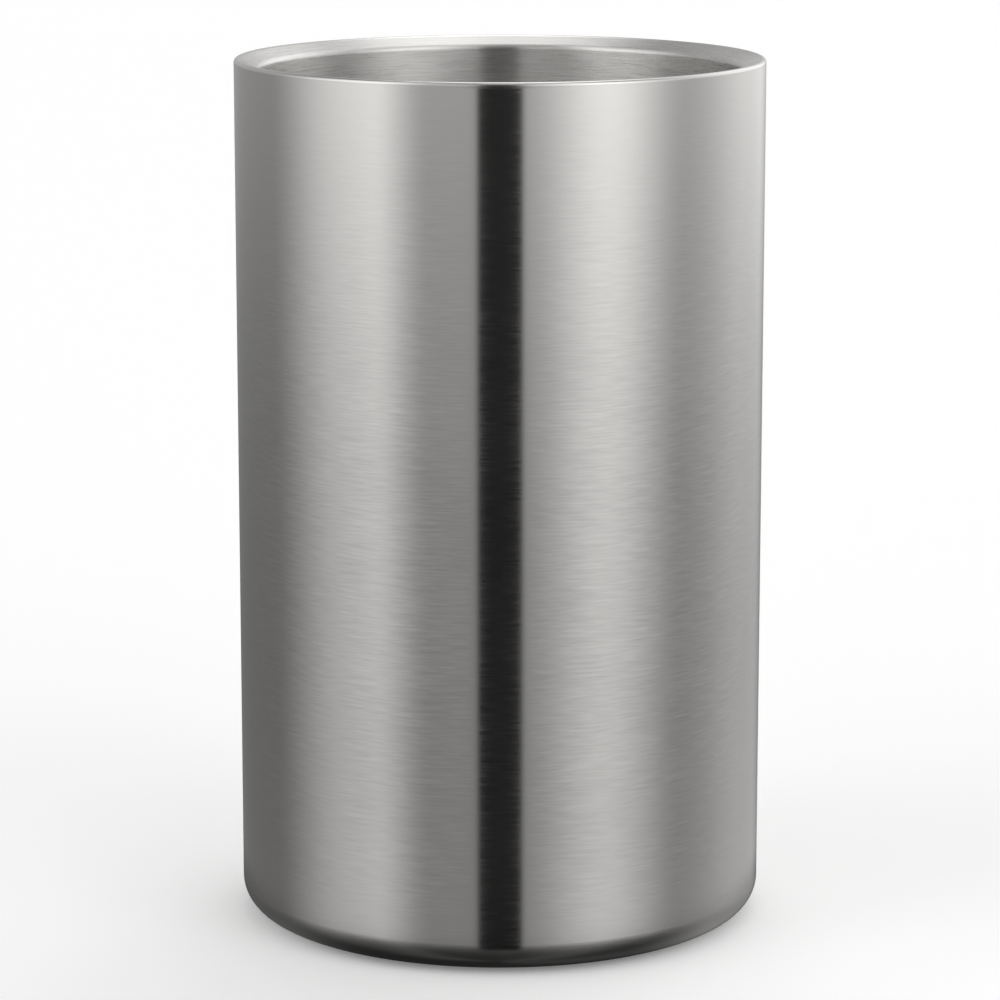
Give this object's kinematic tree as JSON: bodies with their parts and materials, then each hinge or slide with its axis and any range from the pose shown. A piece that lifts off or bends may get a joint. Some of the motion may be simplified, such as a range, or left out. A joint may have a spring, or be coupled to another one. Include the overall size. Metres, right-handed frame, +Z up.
{
  "type": "champagne bottle cooler",
  "caption": "Straight-sided double-walled steel cooler for one champagne or wine bottle, with a sloping polished lip, brushed walls, a rounded heel and a hidden silicone foot ring.",
  "frame": {"origin": "centre of the resting plane, under the foot ring", "axes": "+Z up along the cooler's axis of revolution, towards its open mouth; +X through the getter inside the base, which is the only feature that is not round about the axis"},
  "size_m": [0.12, 0.12, 0.1975],
  "materials": {
    "shell_steel": "stainless steel, fine circumferential satin brush",
    "liner_steel": "stainless steel, circumferential brush in the bore, polished lip",
    "lip_steel": "stainless weld, ground flush and polished",
    "bottom_steel": "stainless steel, mill finish",
    "weld_steel": "stainless weld bead, as laid",
    "solder_glass": "dark fused solder glass",
    "getter_metal": "sintered zirconium alloy, dull grey",
    "clip_steel": "stainless strip, mill finish",
    "cap_steel": "stainless steel, circular brush",
    "adhesive": "cured silicone adhesive",
    "silicone": "matt black silicone"
  },
  "bodies": {
    "root": {"outer_shell": "shell_steel", "inner_liner": "liner_steel", "lip_weld": "lip_steel", "vacuum_bottom": "bottom_steel", "bottom_weld": "weld_steel", "evacuation_seal": "solder_glass", "getter": "getter_metal", "getter_clip": "clip_steel", "base_cap": "cap_steel", "cap_bond": "adhesive", "foot_ring": "silicone"}
  },
  "joints": []
}
